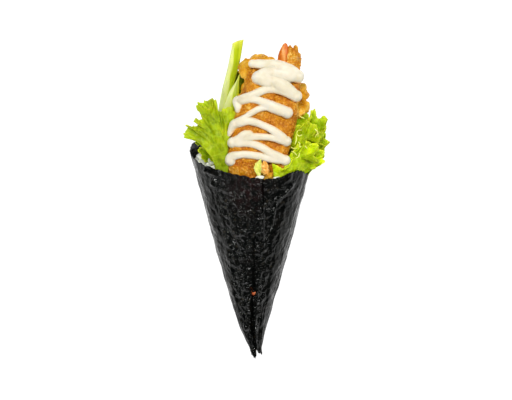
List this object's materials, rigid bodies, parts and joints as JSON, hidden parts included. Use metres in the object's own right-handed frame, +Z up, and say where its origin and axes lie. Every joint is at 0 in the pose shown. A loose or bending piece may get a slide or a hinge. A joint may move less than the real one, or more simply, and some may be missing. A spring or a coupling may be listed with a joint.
{
  "type": "temaki hand roll",
  "caption": "Cone of rolled nori filled with sushi rice, battered prawns, lettuce and cucumber sticks, topped with a mayonnaise zigzag; finger food lying on its side.",
  "frame": {"origin": "middle of the footprint's bounding box, on the table", "axes": "+Y along the roll from its tip to the filling, +Z up, +X to the right as seen from above with the filling at the top"},
  "size_m": [0.0802, 0.1794, 0.0591],
  "materials": {
    "nori": "glossy, wrinkled dried seaweed",
    "rice": "moist cooked grains",
    "batter": "fried granular crust",
    "mayonnaise": "smooth glossy cream",
    "lettuce": "crisp, slightly shiny leaf",
    "cucumber": "moist cut flesh with green skin"
  },
  "bodies": {
    "root": {"nori_wrap": "nori", "prawn_left": "batter", "prawn_right": "batter", "cucumber_tall": "cucumber", "cucumber_short": "cucumber", "lettuce_left": "lettuce", "lettuce_left_inner": "lettuce", "lettuce_right": "lettuce", "lettuce_right_front": "lettuce", "lettuce_back": "lettuce", "mayonnaise": "mayonnaise", "rice": "rice"}
  },
  "joints": []
}
